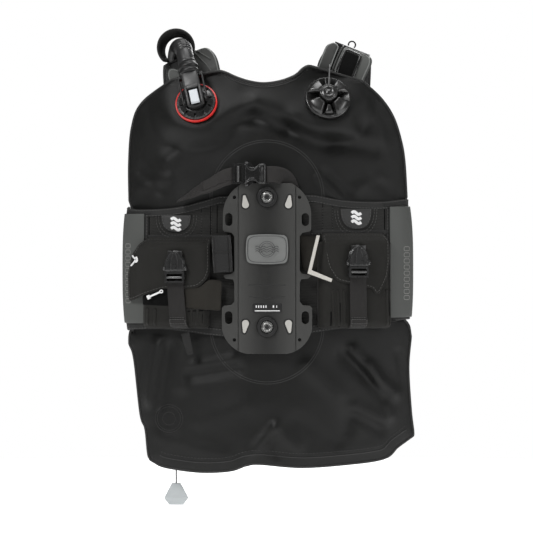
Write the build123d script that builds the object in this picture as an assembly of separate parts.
from build123d import *
from math import acos, cos, pi, radians, sin, sqrt, tan
import os

# Buoyancy compensator vest, hung upright and seen from the tank side.
# Millimetres. The origin is the centre of the back plate's tank-side face.
# +Z is up, the tank stands on the -Y side, the diver's torso on the +Y side,
# and -X is the diver's left.

os.makedirs("parts", exist_ok=True)

# ---------------------------------------------------------------- driving dimensions

# The waist ring in plan view: a wide arc behind the torso, two side corners
# and a flat front. Every layer of the back is an offset of the wide arc.
BACK_RADIUS = 441.0
BACK_CENTRE_Y = 449.0
BACK_HALF_ANGLE = 24.0
SIDE_RADIUS = 38.0
FRONT_CORNER_RADIUS = 50.0
FRONT_Y = 225.0
SIDE_END_Y = FRONT_Y - FRONT_CORNER_RADIUS

# Layers behind the torso, as Y on the centre line.
POCKET_FACE_Y = -10.0
PANEL_FACE_Y = BACK_CENTRE_Y - BACK_RADIUS
PANEL_THICKNESS = 4.0
CELL_FACE_Y = 12.5
CELL_BACK_Y = 36.5
PAD_FACE_Y = 37.0
PAD_BACK_Y = 54.0

# Back plate.
PLATE_HALF_HEIGHT = 119.0
PLATE_THICKNESS = 5.0
UPPER_EAR_X = 61.7
LOWER_EAR_X = 63.0
PLATE_WAIST_X = 45.7
TROUGH_HALF_WIDTH = 38.5
TROUGH_DEPTH = 6.0
TROUGH_RADIUS = (TROUGH_HALF_WIDTH**2 + TROUGH_DEPTH**2) / (2 * TROUGH_DEPTH)
SCREW_Z = (100.0, -81.5)
SCREW_RADIUS = 4.0
ACCESSORY_HOLE_RADIUS = 2.5
ACCESSORY_HOLE_X = 45.5
ACCESSORY_HOLE_Z = 99.5
STRAP_SLOT_X = 53.5
STRAP_SLOT_Z = 68.5
WINDOW_X = 30.0
WINDOW_Z = (93.0, -80.5)

# Webbing.
WEBBING = 25.0
WEBBING_THICKNESS = 2.0
BELT_WEBBING = 50.0

# Valves on the air cell.
INFLATOR_X = -99.0
INFLATOR_Z = 232.0
INFLATOR_PITCH = 25.0
ELBOW_LEAN = 15.0
ELBOW_HEIGHT = 16.0
DUMP_X = 85.4
DUMP_Z = 239.0
DUMP_PITCH = 26.0
DUMP_RADIUS = 32.0
VALVE_STAND_OFF = 6.0
LOWER_DUMP_X = -133.0
LOWER_DUMP_Z = -235.0

# Cords and hose.
HOSE_RADIUS = 12.0
CORD_RADIUS = 1.0
TURRET_RADIUS = 19.0

# Shoulder straps: the left one lies lower, under the hose.
STRAP_THICKNESS = 9.0
LEFT_CREST_DROP = 11.0

# Clips: centre and mouth height of the two pocket clips.
POCKET_CLIP = {"left": (-127.4, -4.0), "right": (126.2, 3.6)}
POCKET_SPAN = {"left": (-172.0, -80.0), "right": (70.0, 172.0)}
POCKET_Z = (-84.0, 38.0)
CLIP_HALF_WIDTH = 14.0
CLIP_THICKNESS = 9.0
CLIP_LENGTH = 30.0
CLIP_BASE = 16.0
FIT = 0.4


# ---------------------------------------------------------------- helpers


def save(name, shape):
    export_step(shape, f"parts/{name}.step")


def mirrored(shape):
    return mirror(shape, about=Plane.YZ)


def polygon(points):
    return make_face(Polyline(*points, close=True))


def rounded(points, radius):
    face = polygon(points)
    return fillet(face.vertices(), radius)


def prism(face, y_near=-90.0, y_far=130.0):
    """A face drawn in X and Z, swept from y_far to y_near."""
    return extrude(Plane.XZ.offset(-y_far) * face, y_far - y_near, dir=(0, -1, 0))


def arc_ring(y_near, y_far, height=800.0):
    """The full ring between two layers of the back's wide arc."""
    outer = Cylinder(BACK_CENTRE_Y - y_near, height)
    inner = Cylinder(BACK_CENTRE_Y - y_far, height + 20)
    return Pos(0, BACK_CENTRE_Y, 0) * (outer - inner)


def wrapped(face, y_near, y_far):
    """A slab with an outline in X and Z that follows the back's wide arc."""
    return prism(face) & arc_ring(y_near, y_far)


def on_arc(x, z, y_layer):
    """A plane on a layer of the wide arc, its normal pointing at the tank."""
    radius = BACK_CENTRE_Y - y_layer
    rise = sqrt(radius**2 - x**2)
    return Plane(
        origin=(x, BACK_CENTRE_Y - rise, z),
        x_dir=(rise / radius, x / radius, 0),
        z_dir=(x / radius, -rise / radius, 0),
    )


def ring_profile(inset):
    """The waist ring's closed outline in plan view, inset by a distance."""
    angle = radians(BACK_HALF_ANGLE)
    back = BACK_RADIUS - inset
    side = SIDE_RADIUS - inset
    corner = FRONT_CORNER_RADIUS - inset
    side_x = (BACK_RADIUS - SIDE_RADIUS) * sin(angle)
    side_y = BACK_CENTRE_Y - (BACK_RADIUS - SIDE_RADIUS) * cos(angle)
    corner_x = side_x + SIDE_RADIUS - FRONT_CORNER_RADIUS
    joint = (back * sin(angle), BACK_CENTRE_Y - back * cos(angle))
    middle = radians((90 + BACK_HALF_ANGLE) / 2)
    flank = side_x + side
    right = [
        ThreePointArc(
            joint,
            (side_x + side * sin(middle), side_y - side * cos(middle)),
            (flank, side_y),
        ),
        Line((flank, side_y), (flank, SIDE_END_Y)),
        ThreePointArc(
            (flank, SIDE_END_Y),
            (corner_x + corner * sqrt(0.5), SIDE_END_Y + corner * sqrt(0.5)),
            (corner_x, SIDE_END_Y + corner),
        ),
    ]
    left = [mirror(edge, about=Plane.YZ) for edge in right]
    back_arc = ThreePointArc((-joint[0], joint[1]), (0, BACK_CENTRE_Y - back), joint)
    front = Line((-corner_x, FRONT_Y - inset), (corner_x, FRONT_Y - inset))
    return make_face(Curve() + [back_arc, front] + right + left)


def ring_band(outer_inset, inner_inset, half_height=130.0):
    section = ring_profile(outer_inset) - ring_profile(inner_inset)
    return Pos(0, 0, -half_height) * extrude(section, 2 * half_height)


def ribbon(stations, thickness):
    """A flat band through stations of (centre, direction across, half width)."""
    sections = []
    for i, (centre, across, half) in enumerate(stations):
        before = Vector(stations[max(i - 1, 0)][0])
        after = Vector(stations[min(i + 1, len(stations) - 1)][0])
        plane = Plane(origin=centre, x_dir=Vector(across), z_dir=after - before)
        sections.append(plane * Rectangle(2 * half, thickness))
    return loft(sections, ruled=True)


def cord_tube(route, radius, name):
    """Straight runs joined by tangent arcs, each as large as its runs allow."""
    points = [Vector(p) for p in route]
    edges = []
    start = points[0]
    radii = []
    for a, b, c in zip(points, points[1:], points[2:]):
        turn = acos((b - a).normalized().dot((c - b).normalized()))
        reach = 0.45 * min((b - a).length, (c - b).length)
        radii.append(reach / tan(turn / 2))
        enter = b - (b - a).normalized() * reach
        leave = b + (c - b).normalized() * reach
        tangent = (b - a).normalized()
        edges.append(Line(start, enter))
        edges.append(TangentArc(enter, leave, tangent=tangent))
        start = leave
    edges.append(Line(start, points[-1]))
    path = Wire(edges)
    section = Plane(origin=points[0], z_dir=points[1] - points[0]) * Circle(radius)
    tube = sweep(section, path=path)
    area = pi * radius**2
    print(name, "radii", [round(r, 1) for r in radii], "length", round(path.length, 1),
          "volume ratio", round(tube.volume / (area * path.length), 3))
    return tube


def clip_halves(half_width, arched):
    """A side-release clip. The female half's mouth is at y = 0, its length runs
    to +y, and the outer face is towards +z. Returns the female and male halves."""
    w = half_width
    shoulder = 0.42 * CLIP_LENGTH
    if arched:
        side = ThreePointArc((w, shoulder), (0.62 * w, 0.8 * CLIP_LENGTH), (0, CLIP_LENGTH))
        edges = [
            Line((-w, 0), (w, 0)),
            Line((w, 0), (w, shoulder)),
            side,
            mirror(side, about=Plane.YZ),
            Line((-w, shoulder), (-w, 0)),
        ]
        outline = make_face(Curve() + edges)
    else:
        outline = rounded(
            [(-w, 0), (w, 0), (w, CLIP_LENGTH), (-w, CLIP_LENGTH)], 1.5
        )
    female = extrude(outline, CLIP_THICKNESS)
    cavity = CLIP_THICKNESS / 2
    gap = 4.6
    tongue_reach = 19.0
    prong_reach = 17.0
    rib = 0.24 * w
    female -= Pos(0, tongue_reach / 2 - 1, cavity) * Box(2 * rib, tongue_reach + 2, gap)
    for side in (-1, 1):
        channel = Pos(side * (rib + 2 + w), prong_reach / 2 - 1, cavity)
        female -= channel * Box(2 * w, prong_reach + 2, gap)
    if not arched:
        female -= Pos(0, CLIP_LENGTH - 5, cavity) * Box(1.7 * w, 4, 2 * CLIP_THICKNESS)

    bar = CLIP_BASE - FIT
    male = Pos(0, -FIT - bar / 2, cavity) * Box(2 * w, bar, 7)
    for y in (-5.2, -11.6):
        male -= Pos(0, y, cavity) * Box(1.6 * w, 3.4, 20)
    prong = polygon(
        [
            (rib + 2 + FIT, -1),
            (0.66 * w, -1),
            (0.66 * w, 1.5),
            (w + 3.6, 2.5),
            (w + 3.0, 6.5),
            (0.68 * w, prong_reach - 1),
            (rib + 2 + FIT, prong_reach - 1),
        ]
    )
    tongue = Rectangle(2 * (rib - FIT), tongue_reach, align=(Align.CENTER, Align.MIN))
    fork = prong + mirror(prong, about=Plane.YZ) + Pos(0, -1) * tongue
    male += Pos(0, 0, cavity - 1.8) * extrude(fork, 3.6)
    return female, male


# ---------------------------------------------------------------- air cell


def cell_outline():
    """Seen from the tank side: neckline, rounded shoulders, a straight waist
    hidden under the waist panels, and a flared hem."""
    left_shoulder = Spline((-134, 265), (-176, 233), (-191, 190), (-193, 102))
    right_shoulder = Spline((197, 102), (193, 151), (178, 214), (134, 263))
    neck = ThreePointArc((57, 286), (-4, 260), (-63, 278))
    hem = Spline((-160, -272), (-95, -285), (-28, -276), (46, -278), (105, -276), (170, -266))
    edges = [
        neck,
        Line((-63, 278), (-134, 265)),
        left_shoulder,
        Polyline((-193, 102), (-180, 96), (-180, -94), (-191, -100)),
        Spline((-191, -100), (-179, -200), (-167, -262)),
        Line((-167, -262), (-160, -272)),
        hem,
        Line((170, -266), (207, -236)),
        Spline((207, -236), (199.5, -150), (204, -100)),
        Polyline((204, -100), (180, -94), (180, 96), (197, 102)),
        right_shoulder,
        Line((134, 263), (57, 286)),
    ]
    return make_face(Curve() + edges)


def valve_plane(x, z, pitch, yaw):
    """A plane on the cell's outer face, tipped up by pitch and turned by yaw."""
    plane = on_arc(x, z, CELL_FACE_Y - VALVE_STAND_OFF)
    origin = (plane.origin.X, plane.origin.Y, plane.origin.Z)
    turn, tip = radians(yaw), radians(pitch)
    normal = (sin(turn) * cos(tip), -cos(turn) * cos(tip), sin(tip))
    return Plane(origin=origin, x_dir=(cos(turn), sin(turn), 0), z_dir=normal)


INFLATOR_PLANE = valve_plane(INFLATOR_X, INFLATOR_Z, INFLATOR_PITCH, -8)
DUMP_PLANE = valve_plane(DUMP_X, DUMP_Z, DUMP_PITCH, 6)


def make_cell():
    cell = wrapped(cell_outline(), CELL_FACE_Y, CELL_BACK_Y)
    # Each outer valve sits in a recess, with its turret going deeper.
    for place, radius in ((INFLATOR_PLANE, 31), (DUMP_PLANE, DUMP_RADIUS + 1)):
        cell -= place * Pos(0, 0, 42) * Cylinder(radius, 100)
        cell -= place * Pos(0, 0, 27) * Cylinder(TURRET_RADIUS + 1, 100)
    # The shoulder is relieved where the elbow lies over its edge.
    elbow_axis = INFLATOR_PLANE * Rot(0, 0, ELBOW_LEAN) * Pos(0, 50, ELBOW_HEIGHT) * Rot(90, 0, 0)
    cell -= elbow_axis * Cylinder(20, 80)
    grommets = []
    for z in SCREW_Z:
        place = Pos(0, (CELL_FACE_Y + CELL_BACK_Y) / 2, z) * Rot(90, 0, 0)
        depth = CELL_BACK_Y - CELL_FACE_Y
        cell -= place * Cylinder(8.3, depth + 10)
        grommets.append(place * (Cylinder(8, depth) - Cylinder(4.4, depth)))
    save("air_cell", cell)
    save("cell_grommets", Compound(grommets))


# ---------------------------------------------------------------- back plate


def plate_outline():
    """Two pairs of ears and a waist notched for the tank band."""
    ear, low, waist = UPPER_EAR_X, LOWER_EAR_X, PLATE_WAIST_X
    top = PLATE_HALF_HEIGHT
    right = [
        Line((0, top), (34, top)),
        ThreePointArc((34, top), (54, 101), (ear, 74)),
        Polyline((ear, 74), (ear, 54), (ear - 2, 52), (waist + 4, 50), (waist, 45)),
        Polyline((waist, 45), (waist, -3), (waist + 3, -7), (ear - 2, -9)),
        Polyline((ear - 2, -9), (ear - 1, -11), (ear - 4, -14), (waist + 2, -15)),
        Polyline((waist + 2, -15), (waist, -19), (waist, -46), (waist + 4, -51)),
        Polyline((waist + 4, -51), (low - 3, -52), (low, -55), (low, -84)),
        ThreePointArc((low, -84), (52, -106), (28, -top)),
        Line((28, -top), (0, -top)),
    ]
    return make_face(Curve() + right + [mirror(e, about=Plane.YZ) for e in right])


def plate_section():
    """In plan view: a trough that cradles the tank between two swept-back wings."""
    w, t = TROUGH_HALF_WIDTH, PLATE_THICKNESS
    wing = LOWER_EAR_X + 2
    face = ThreePointArc((-w, -TROUGH_DEPTH), (0, 0), (w, -TROUGH_DEPTH))
    back = ThreePointArc((w - 2, t - TROUGH_DEPTH + 0.6), (0, t), (2 - w, t - TROUGH_DEPTH + 0.6))
    right = Polyline((w, -TROUGH_DEPTH), (w + 3.5, -5), (wing, 1.5), (wing, 1.5 + t), (w + 4, 0.8),
                     (w - 2, t - TROUGH_DEPTH + 0.6))
    return make_face(Curve() + [face, back, right, mirror(right, about=Plane.YZ)])


def teardrop(x, z, up, grow=0.0):
    """A window that is narrow at one end and leans towards the plate's edge."""
    tip_radius, wide_radius, length = 2.4 + grow, 5.2 + grow, 11.5
    flank = acos((wide_radius - tip_radius) / length)
    lift, out = cos(flank), sin(flank)
    sides = polygon(
        [
            (wide_radius * out, wide_radius * lift),
            (tip_radius * out, length + tip_radius * lift),
            (-tip_radius * out, length + tip_radius * lift),
            (-wide_radius * out, wide_radius * lift),
        ]
    )
    shape = sides + Circle(wide_radius) + Pos(0, length) * Circle(tip_radius)
    lean = 8 if x < 0 else -8
    turn = lean if up > 0 else 180 - lean
    return Pos(x, z - up * 4) * Rot(0, 0, turn) * shape


def make_plate():
    body = Pos(0, 0, -130) * extrude(plate_section(), 260)
    body &= prism(plate_outline(), -40, 40)
    reach = 40.0
    for x in (-ACCESSORY_HOLE_X, ACCESSORY_HOLE_X):
        for z in (-ACCESSORY_HOLE_Z, ACCESSORY_HOLE_Z):
            body -= Pos(x, 0, z) * Rot(90, 0, 0) * Cylinder(ACCESSORY_HOLE_RADIUS, reach)
    for x in (-STRAP_SLOT_X, STRAP_SLOT_X):
        for z in (-STRAP_SLOT_Z, STRAP_SLOT_Z):
            slot = Pos(x, z) * Rot(0, 0, 90) * SlotOverall(18, 10.5)
            body -= prism(slot, -20, 20)
    inserts = []
    for x in (-WINDOW_X, WINDOW_X):
        for z, up in zip(WINDOW_Z, (1, -1)):
            body -= prism(teardrop(x, z, up), -20, 20)
            slab = prism(teardrop(x, z, up, -FIT), -20, 20)
            shell = Cylinder(TROUGH_RADIUS + 3, 400) - Cylinder(TROUGH_RADIUS - 0.6, 420)
            inserts.append(slab & (Pos(0, -TROUGH_RADIUS, 0) * shell))
    for side in (-1, 1):
        body -= Pos(side * (TROUGH_HALF_WIDTH + 1.6), -6, 0) * Box(1.4, 3.4, 400)
    screws, washers, nuts = [], [], []
    for z in SCREW_Z:
        place = Pos(0, 0, z) * Rot(90, 0, 0)
        body -= place * Cylinder(SCREW_RADIUS + FIT, 40)
        body -= place * Pos(0, 0, 4.5) * Cylinder(14.4, 10)
        ring = place * Pos(0, 0, 2.0) * (Cylinder(14, 5) - Cylinder(9.2, 6))
        washers.append(fillet(ring.edges().group_by(Axis.Y)[0], 1.2))
        head = Pos(0, 0, 1.9) * Cylinder(8.8, 4.6)
        head = chamfer(head.edges().group_by(Axis.Z)[-1], 1.2)
        shank = Pos(0, 0, -20.6) * Cylinder(SCREW_RADIUS, 41)
        socket = Pos(0, 0, 2.0) * extrude(RegularPolygon(3.4, 6), 4)
        screws.append(place * (head + shank - socket))
        nut = extrude(RegularPolygon(8, 6), 5) - Cylinder(SCREW_RADIUS + 0.1, 20)
        nuts.append(Pos(0, 43.0, z) * Rot(90, 0, 0) * nut)
    save("back_plate", body)
    save("plate_inserts", Compound(inserts))
    save("plate_screws", Compound(screws))
    save("screw_washers", Compound(washers))
    save("screw_nuts", Compound(nuts))


def make_badge():
    """A barrel-shaped name plate, left plain, that follows the trough."""
    half_w, half_h, bulge, z = 27.5, 19.0, 2.0, 27.0
    corners = [(-half_w, -half_h), (half_w, -half_h), (half_w, half_h), (-half_w, half_h)]
    mids = [(0, -half_h - bulge), (half_w + bulge, 0), (0, half_h + bulge), (-half_w - bulge, 0)]
    edges = [ThreePointArc(a, m, b) for a, m, b in zip(corners, mids, corners[1:] + corners[:1])]
    face = make_face(Curve() + edges)
    face = fillet(face.vertices(), 7)
    shell = Cylinder(TROUGH_RADIUS - 0.2, 400) - Cylinder(TROUGH_RADIUS - 2.8, 420)
    save("plate_badge", prism(Pos(0, z) * face, -20, 20) & (Pos(0, -TROUGH_RADIUS, 0) * shell))


# ---------------------------------------------------------------- tank straps


def make_upper_strap():
    """The safety strap that goes round the tank's neck."""
    z, y = 132.0, -4.0
    mouth_x = -32.0
    place = Plane(origin=(mouth_x, y, z), x_dir=(0, 0, -1), z_dir=(0, -1, 0))
    female, male = clip_halves(CLIP_HALF_WIDTH, arched=False)
    save("upper_buckle_female", place * female)
    save("upper_buckle_male", place * male)
    half = WEBBING / 2
    right = ribbon(
        [
            ((-1.5, -8.5, 131), (0, 0, 1), half - 1),
            ((22, -8.0, 131), (0.1, 0, 1), half - 1),
            ((36, -1.0, 131.5), (0.5, 0, 0.86), half - 1),
            ((47, 9.4, 121.5), (0.62, 0, 0.78), half - 1),
        ],
        WEBBING_THICKNESS,
    )
    left = ribbon(
        [
            ((-52.6, -8.5, 129), (0, 0, 1), half - 2),
            ((-74, -6.0, 119), (0.25, 0.2, 0.95), half - 2),
            ((-100, 2.0, 107), (0.3, 0.6, 0.74), half - 2),
            ((-124, 14.0, 95), (0.2, 0.94, 0.28), half - 4),
        ],
        WEBBING_THICKNESS,
    )
    save("upper_tank_strap", Compound([right, left]))


def make_tank_band():
    """The main tank band, folded up in the plate's left notch."""
    layers, pitch, thick = 5, 3.2, 2.4
    width, height = 25.0, 52.0
    bundle = None
    for i in range(layers):
        y = -9.0 + i * pitch
        layer = Pos(0, y + thick / 2, 0) * Box(width, thick, height)
        bundle = layer if bundle is None else bundle + layer
        if i < layers - 1:
            side = 1 if i % 2 else -1
            bundle += Pos(side * (width - thick) / 2, y + pitch, 0) * Box(thick, pitch, height)
    save("tank_band", Pos(-62.6, 0, 20.5) * Rot(0, -3, 0) * bundle)


# ---------------------------------------------------------------- waist panels and pockets


def make_waist():
    layer = ring_band(0, PANEL_THICKNESS)
    left = Spline((-210, 90), (-173, 82), (-123, 86), (-66, 101))
    left_low = Spline((-12, -97), (-70, -94), (-140, -84), (-210, -89))
    left_face = make_face(Curve() + [
        left, Polyline((-66, 101), (-12, 101), (-12, -97)), left_low, Line((-210, -89), (-210, 90))])
    right = Spline((66, 103), (110, 95), (160, 93), (210, 101))
    right_low = Spline((210, -75), (140, -80), (90, -88), (12, -97))
    right_face = make_face(Curve() + [
        Polyline((12, -97), (12, 103), (66, 103)), right, Line((210, 101), (210, -75)), right_low])
    seam_y = 110.0
    save("waist_panel_left", layer & prism(left_face, -30, seam_y))
    save("waist_panel_right", layer & prism(right_face, -30, seam_y))

    # The cummerbund carries on from the panel's seam round the side to the front.
    profile = polygon([
        (seam_y, -88), (seam_y, 88), (SIDE_END_Y, 74), (FRONT_Y + 5, 52),
        (FRONT_Y + 5, -56), (SIDE_END_Y, -76)])
    side_sweep = extrude(Plane.YZ * profile, 260, both=True)
    taper = polygon([(60, -32), (60, 32), (150, 56), (260, 100), (260, -100), (150, -62)])
    front = prism(taper, -10, 260)
    half = layer & side_sweep & front
    save("cummerbund_right", half)
    save("cummerbund_left", mirrored(half))

    # Smooth elastomer bands on the ring's corners.
    skin = ring_band(-2.6, -0.2)
    right_band = skin & prism(polygon([(174, -79), (174, 91), (230, 94), (230, -76)]), -30, 104)
    left_band = skin & prism(polygon([(-173, -82), (-173, 80), (-230, 84), (-230, -84)]), -30, 104)
    save("side_bands", Compound([left_band, right_band]))


def make_pockets():
    flaps, clips = [], []
    wall = 3.0
    flap_y = POCKET_FACE_Y - 0.3
    for side in ("left", "right"):
        x0, x1 = POCKET_SPAN[side]
        z0, z1 = POCKET_Z
        pouch = wrapped(
            rounded([(x0, z0), (x1, z0), (x1, z1), (x0, z1)], 6), POCKET_FACE_Y, PANEL_FACE_Y - 0.3)
        hollow = wrapped(
            polygon([(x0 + wall, z0 + wall), (x1 - wall, z0 + wall), (x1 - wall, z1 + 5),
                     (x0 + wall, z1 + 5)]),
            POCKET_FACE_Y + wall, PANEL_FACE_Y - 0.3 - wall)
        save(f"cargo_pocket_{side}", pouch - hollow)

        # The flap is sewn to the panel above the pouch and folds down over it.
        inner, outer = (x1 - 2, x0 + 6) if side == "left" else (x0 + 2, x1 - 6)
        low = -27.0
        reach = 20.0 if side == "left" else -20.0
        front = polygon([(outer, z1 + 3.6), (inner, z1 + 3.6), (inner, low + 22),
                         (inner - reach, low), (outer, low)])
        lid = polygon([(outer, z1 + 0.6), (inner, z1 + 0.6), (inner, z1 + 3.6), (outer, z1 + 3.6)])
        flaps.append(wrapped(front, flap_y - 3, flap_y) + wrapped(lid, flap_y - 3, PANEL_FACE_Y - 0.3))

        x, mouth = POCKET_CLIP[side]
        place = on_arc(x, mouth, flap_y - 3.4)
        female, male = clip_halves(CLIP_HALF_WIDTH, arched=True)
        clips.append(place * female)
        save(f"pocket_prong_{side}", place * male)
        top = mouth - CLIP_BASE - 0.6
        length = top - (z0 + 1)
        # The webbing lies over the flap and is sewn to the pouch by a doubled foot.
        foot = 14.0
        depth = 3.6
        strap_place = on_arc(x, top - length / 2, POCKET_FACE_Y - 0.2)
        strap = Pos(0, 0, depth + 1) * Box(WEBBING - 1, length, WEBBING_THICKNESS)
        strap += Pos(0, (foot - length) / 2, depth / 2 + 0.1) * Box(WEBBING - 1, foot, depth)
        save(f"pocket_strap_{side}", strap_place * strap)
    save("pocket_flaps", Compound(flaps))
    save("pocket_clips", Compound(clips))


def make_zipper_pull():
    """A thin puller lying aslant on the left pouch, its eye on the slider."""
    place = on_arc(-147.5, -32.0, POCKET_FACE_Y - 4.6)
    eye = Circle(2.6) - Circle(1.2)
    shaft = Pos(-9.5, -4) * Rot(0, 0, 23) * Rectangle(17, 2.4)
    knob = Pos(-19, -8) * Rot(0, 0, 23) * Rectangle(4.5, 5.5)
    pull = extrude(eye + (shaft - Circle(2.0)) + knob, 1.8)
    save("zipper_pull", place * pull)


def make_pull_strip():
    """A flat folded ribbon lying beside the right pocket."""
    half = 2.3
    legs = polygon([
        (71.4 - half, 46.3), (71.4 + half, 46.3), (58.8 + 3.4, -2.2), (91.2, -14.4),
        (89.6, -18.9), (58.8 - half, -6.8)])
    save("pull_strip", prism(legs, -9.4, -8.4))


# ---------------------------------------------------------------- harness


def strap_stations(drop):
    """The right shoulder strap, from its root behind the cell over the crest
    and down the chest."""
    half = 31.0
    return [
        ((84, 53.5, 196), (0.977, 0.21, 0), half),
        ((94, 56.5, 245), (0.97, 0.24, 0), half + 1),
        ((103, 61, 278 - drop / 2), (0.91, 0.22, -0.34), half + 3),
        ((117, 84, 305 - drop), (0.927, 0, -0.375), half - 3),
        ((118, 122, 297 - drop), (0.95, 0, -0.3), half - 1),
        ((116, 160, 255), (0.98, 0, -0.2), half),
        ((112, 188, 195), (0.99, 0, -0.1), half),
        ((108, 204, 125), (1, 0, 0), half),
    ]


CHEST_CORD_X = 135.0
CHEST_CORD_Y = 214.5
CHEST_CORD_TOP = 184.0
RING_X = 97.0
RING_Z = 170.0
RING_Y = 214.5
RING_RADIUS = 18.0
RING_WIRE = 2.4


def make_harness():
    pad = wrapped(
        rounded([(-72, 190), (72, 190), (98, 120), (100, -120), (78, -165), (-78, -165),
                 (-100, -120), (-98, 120)], 14),
        PAD_FACE_Y, PAD_BACK_Y)
    for z in SCREW_Z:
        pad -= Pos(0, PAD_FACE_Y, z) * Rot(90, 0, 0) * Cylinder(12, 20)
    save("backpad", pad)
    save("shoulder_strap_right", ribbon(strap_stations(0), STRAP_THICKNESS))
    save("shoulder_strap_left", mirrored(ribbon(strap_stations(LEFT_CREST_DROP), STRAP_THICKNESS)))

    half = WEBBING / 2
    tail = ribbon(
        [((108, 205.6, 123.5), (1, 0, 0), half), ((110, 213, 80), (1, 0, 0), half),
         ((111, 218.8, 20), (1, 0, 0), half)],
        WEBBING_THICKNESS)
    keeper = Pos(RING_X, RING_Y - 2.2, RING_Z) * Box(20, 11, 11)
    keeper -= Pos(RING_X, RING_Y, RING_Z) * Rot(0, 90, 0) * Cylinder(RING_WIRE + 0.5, 60)
    keeper = fillet(keeper.edges().filter_by(Axis.X).sort_by(Axis.Y)[-2:], 2)
    body = ribbon(strap_stations(0), STRAP_THICKNESS + 1)
    keeper -= body
    # A sewn sleeve guides the shoulder dump's pull cord down the right strap.
    sleeve = Pos(CHEST_CORD_X, CHEST_CORD_Y - 5.5, CHEST_CORD_TOP - 16) * Box(8, 18, 30)
    sleeve -= Pos(CHEST_CORD_X, CHEST_CORD_Y, CHEST_CORD_TOP) * Cylinder(CORD_RADIUS + 0.7, 100)
    sleeve -= body
    save("shoulder_webbing", Compound([tail, mirrored(tail), keeper, mirrored(keeper), sleeve]))

    # Ladder adjusters on the webbing below each strap.
    frame = Box(31, 5, 20)
    for z in (-4.6, 4.6):
        frame -= Pos(0, 0, z) * Box(26, 20, 4.4)
    adjuster = Pos(109.2, 215.0, 96) * Rot(8.5, 0, 0) * frame
    save("shoulder_adjusters", Compound([adjuster, mirrored(adjuster)]))

    wire = Torus(RING_RADIUS, RING_WIRE) & Pos(0, -30, 0) * Box(80, 60, 20)
    bar = Rot(0, 90, 0) * Cylinder(RING_WIRE, 2 * RING_RADIUS)
    ring = wire + bar
    for x in (-RING_RADIUS, RING_RADIUS):
        ring += Pos(x, 0, 0) * Sphere(RING_WIRE)
    ring = Pos(RING_X, RING_Y, RING_Z) * Rot(90, 0, 0) * ring
    save("d_ring_right", ring)
    save("d_ring_left", mirrored(ring))


def front_clip(mouth_x, y, z, half_width):
    place = Plane(origin=(mouth_x, y, z), x_dir=(0, 0, 1), z_dir=(0, 1, 0))
    female, male = clip_halves(half_width, arched=False)
    return place * female, place * male


def make_front_straps():
    z, y = 190.0, 184.0
    female, male = front_clip(-8, y, z, 12)
    save("chest_buckle_female", female)
    save("chest_buckle_male", male)
    lane = y + CLIP_THICKNESS / 2
    right = Pos((22.4 + 79) / 2, lane, z) * Box(79 - 22.4, WEBBING_THICKNESS, 20)
    left = Pos(-(24.4 + 79) / 2, lane, z) * Box(79 - 24.4, WEBBING_THICKNESS, 20)
    save("chest_strap", Compound([right, left]))

    belt_y = FRONT_Y + 0.4
    female, male = front_clip(-8, belt_y - 3, 0, BELT_WEBBING / 2 + 4)
    save("waist_buckle_female", female)
    save("waist_buckle_male", male)
    lane = belt_y + 1.2
    belts = []
    for start, side in ((22.4, 1), (24.4, -1)):
        length = 150 - start
        belts.append(Pos(side * (start + length / 2), lane, 0) * Box(length, 2.4, BELT_WEBBING))
    save("waist_belt", Compound(belts))


# ---------------------------------------------------------------- inflator


HOSE_ROUTE = [
    (-111.9, 27.4, 286.7),
    (-117.7, 40.2, 312.0),
    (-123.5, 72.0, 313.5),
    (-127.5, 105.0, 311.0),
    (-130.5, 140.0, 299.0),
    (-132.0, 171.0, 275.0),
    (-133.0, 196.0, 240.0),
    (-133.5, 216.0, 202.0),
    (-133.0, 231.0, 164.0),
]
HEAD = (-133.0, 240.0, 108.0)


def make_inflator():
    place = INFLATOR_PLANE
    flange = Pos(0, 0, -2) * Cylinder(27, 10) + Pos(0, 0, 4.5) * Cone(26, 17, 5)
    flange += Pos(0, 0, -14) * Cylinder(TURRET_RADIUS, 16)
    flange -= Pos(0, 0, 4) * Cylinder(14.4, 30)
    for i in range(10):
        flange -= Rot(0, 0, 36 * i + 18) * Pos(22, 0, 6) * Box(7, 3, 8)
    save("inflator_valve", place * flange)
    ring = Pos(0, 0, -0.5) * (Cylinder(29.6, 4) - Cylinder(27.2, 6))
    save("valve_ring", place * fillet(ring.edges().group_by(Axis.Z)[-1], 0.9))

    lean = place * Rot(0, 0, ELBOW_LEAN)
    hub = Pos(0, 0, 7) * Cylinder(14, 20)
    block = Pos(0, 18, 17) * Box(25, 46, 17)
    block = fillet(block.edges().filter_by(Axis.Y), 4)
    elbow = hub + block
    elbow -= Pos(0, -1, 24) * Box(13, 22, 12)
    for x in (-1, 1):
        elbow += Pos(x * 16.8, 17, 15) * Box(3, 42, 10)
        elbow += Pos(x * 14.5, 35, 15) * Box(6, 6, 9)
    outlet = Rot(-90, 0, 0)
    elbow += Pos(0, 44, ELBOW_HEIGHT) * outlet * Cylinder(14.6, 8)
    elbow += Pos(0, 50, ELBOW_HEIGHT) * outlet * Cylinder(13.4, 9)
    save("valve_elbow", lean * elbow)
    latch = Pos(0, -1, 22.4) * Box(12, 20, 5)
    latch = fillet(latch.edges().group_by(Axis.Z)[-1], 1.2)
    save("elbow_latch", lean * latch)

    hose = cord_tube(HOSE_ROUTE, HOSE_RADIUS, "inflator_hose")
    save("inflator_hose", hose)

    # The strap loop that holds the hose on the shoulder.
    loop = Cylinder(27.2, 24) - Cylinder(24.4, 30)
    loop = Pos(-127, 70, 310.5) * Rot(90 - 8, 0, 12) * loop
    crest_top = Pos(-117, 84, 305 - LEFT_CREST_DROP + 5.6) * Rot(0, -22, 0)
    crest = crest_top * Pos(0, 0, -60) * Box(200, 200, 120)
    save("hose_retainer", loop - crest)


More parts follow.
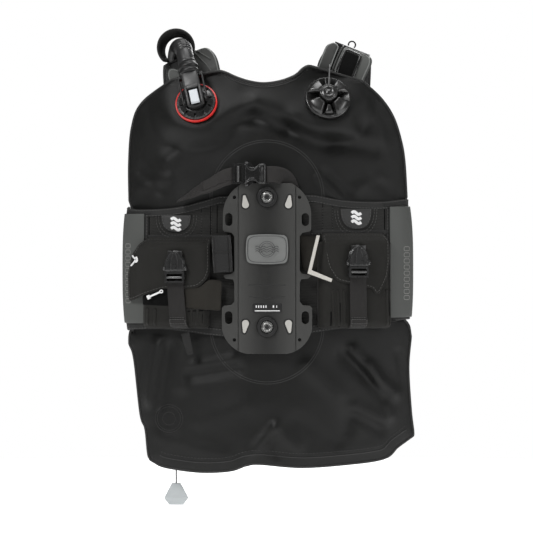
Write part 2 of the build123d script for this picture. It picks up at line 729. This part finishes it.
def make_power_inflator():
    x, y, z = HEAD
    end = Vector(HOSE_ROUTE[-1])
    run = (end - Vector(HOSE_ROUTE[-2])).normalized()
    stem_plane = Plane(origin=end, z_dir=run)
    neck = stem_plane * Pos(0, 0, 15) * Cylinder(14.5, 30)
    body = Pos(x, y, z + 16) * Cylinder(13, 44)
    barrel = Pos(x, y - 1, z) * Rot(90, 0, 0) * Cylinder(16, 32)
    foot = Pos(x, y, z - 16) * Cylinder(12, 24)
    shape = neck + body + barrel + foot
    # Button wells and the low-pressure nipple.
    shape -= Pos(x, y + 16, z) * Rot(90, 0, 0) * Cylinder(9, 18)
    shape -= Pos(x - 16, y, z) * Rot(0, 90, 0) * Cylinder(8, 20)
    shape += Pos(x + 20, y, z + 24) * Rot(0, 90, 0) * Cylinder(6, 18)
    shape += Pos(x + 34, y, z + 24) * Rot(0, 90, 0) * Cylinder(4.5, 22)
    save("power_inflator", shape)
    inflate = Rot(90, 0, 0) * chamfer(Cylinder(8.6, 10).edges().group_by(Axis.Z)[0], 1)
    save("inflate_button", Pos(x, y + 16.6, z) * inflate)
    exhaust = Rot(0, 90, 0) * chamfer(Cylinder(7.6, 10).edges().group_by(Axis.Z)[0], 1)
    save("exhaust_button", Pos(x - 15.6, y, z) * exhaust)
    tube = Pos(x, y, z - 33) * (Cylinder(13.5, 10) - Cylinder(8, 12))
    lip = Pos(x, y, z - 41) * extrude(Ellipse(17, 12.5), 6) - Pos(x, y, z - 38) * Cylinder(8, 20)
    save("mouthpiece", tube + lip)


# ---------------------------------------------------------------- dump valves


def make_spring(radius, height, turns, wire):
    pitch = height / turns
    path = Helix(pitch, height, radius)
    section = Plane(origin=path @ 0, z_dir=path % 0) * Circle(wire)
    return sweep(section, path=path)


# The shoulder dump's pull cord climbs from the hub, goes over the cell's top
# edge and enters the strap, where it runs hidden down to the chest.
DUMP_CORD_ROUTE = [
    (86.3, 6.6, 256.4),
    (87.0, 9.0, 270.0),
    (88.0, 20.0, 284.5),
    (88.5, 36.0, 287.0),
    (89.0, 56.0, 281.5),
]


def make_shoulder_dump():
    place = DUMP_PLANE
    r = DUMP_RADIUS
    body = Pos(0, 0, -3) * Cylinder(r - 1, 8) + Pos(0, 0, -14) * Cylinder(TURRET_RADIUS, 16)
    rim = Pos(0, 0, 4) * (Cylinder(r, 6) - Cylinder(r - 4, 8))
    hub = Pos(0, 0, 7) * Cylinder(15, 14)
    body = body + rim + hub
    # Six spokes leave the vents open between the rim and the hub.
    for i in range(6):
        spoke = Pos(21, 0, 4.5) * Box(18, 11 if i % 3 else 15, 7)
        body += Rot(0, 0, 60 * i + 30) * spoke
    body -= Pos(0, 0, 0) * Cylinder(13, 16)
    body &= Pos(0, 0, -37) * Sphere(54)
    save("shoulder_dump", place * body)
    poppet = Pos(0, 0, -5) * Cylinder(12, 2.5) + Pos(0, 0, -1.5) * Cylinder(2, 6)
    save("shoulder_poppet", place * poppet)
    spring = place * Pos(0, 0, -3) * make_spring(8, 9.5, 4, 0.7)

    cord = cord_tube(DUMP_CORD_ROUTE, CORD_RADIUS, "shoulder_dump_cord")
    save("shoulder_dump_cord", cord - ribbon(strap_stations(0), STRAP_THICKNESS))

    # It comes out at the chest, where a knob hangs on its end.
    knob_top, knob_height = 136.0, 24.0
    length = CHEST_CORD_TOP - knob_top
    tail = Pos(CHEST_CORD_X, CHEST_CORD_Y, knob_top + length / 2)
    save("chest_pull_cord", tail * Cylinder(CORD_RADIUS, length))
    ends = [Rectangle(10, 8), Pos(0, 0, -knob_height) * Rectangle(20, 9)]
    save("shoulder_dump_knob", Pos(CHEST_CORD_X, CHEST_CORD_Y, knob_top) * loft(ends, ruled=True))
    return spring


def make_lower_dump():
    """The hem dump on the cell's torso side, with the hanging knob."""
    outward = on_arc(LOWER_DUMP_X, LOWER_DUMP_Z, CELL_BACK_Y + 1.4)
    place = Plane(origin=outward.origin, x_dir=-outward.x_dir, z_dir=-outward.z_dir)
    body = Pos(0, 0, 3) * Cylinder(26, 6) + Pos(0, 0, 8) * Cylinder(19, 8)
    body -= Pos(0, 0, 5) * Cylinder(15, 8)
    body = fillet(body.edges().group_by(Axis.Z)[-1], 1.5)
    # The cord leaves through a guide moulded across the cap.
    guide_top, guide_low = 6.0, -14.0
    guide_z = 14.8
    middle = (guide_top + guide_low) / 2
    body += Pos(0, middle, 14) * Box(7, guide_top - guide_low, 6)
    body -= Pos(0, middle, guide_z) * Rot(90, 0, 0) * Cylinder(CORD_RADIUS + 0.6, 60)
    save("lower_dump", place * body)
    poppet = Pos(0, 0, 2.5) * Cylinder(13.5, 2)
    save("lower_poppet", place * poppet)
    spring = place * Pos(0, 0, 4.2) * make_spring(9, 4.0, 2, 0.6)

    exit_point = (place * Pos(0, 0, guide_z)).position
    knob_top, knob_low = -303.0, -333.0
    start_z = LOWER_DUMP_Z + 4
    cord = Pos(exit_point.X, exit_point.Y, (start_z + knob_top) / 2) * Cylinder(
        CORD_RADIUS, start_z - knob_top)
    save("lower_dump_cord", cord)
    levels = ((knob_top, 12, 9), (knob_top - 9, 22, 10), (knob_top - 21, 34, 11), (knob_low, 20, 9))
    sections = [Pos(0, 0, z) * Rectangle(w, d) for z, w, d in levels]
    knob = Pos(exit_point.X, exit_point.Y, 0) * loft(sections, ruled=True)
    save("lower_dump_knob", knob)
    return spring


make_cell()
make_plate()
make_badge()
make_upper_strap()
make_tank_band()
make_waist()
make_pockets()
make_zipper_pull()
make_pull_strip()
make_harness()
make_front_straps()
make_inflator()
make_power_inflator()
save("dump_springs", Compound([make_shoulder_dump(), make_lower_dump()]))
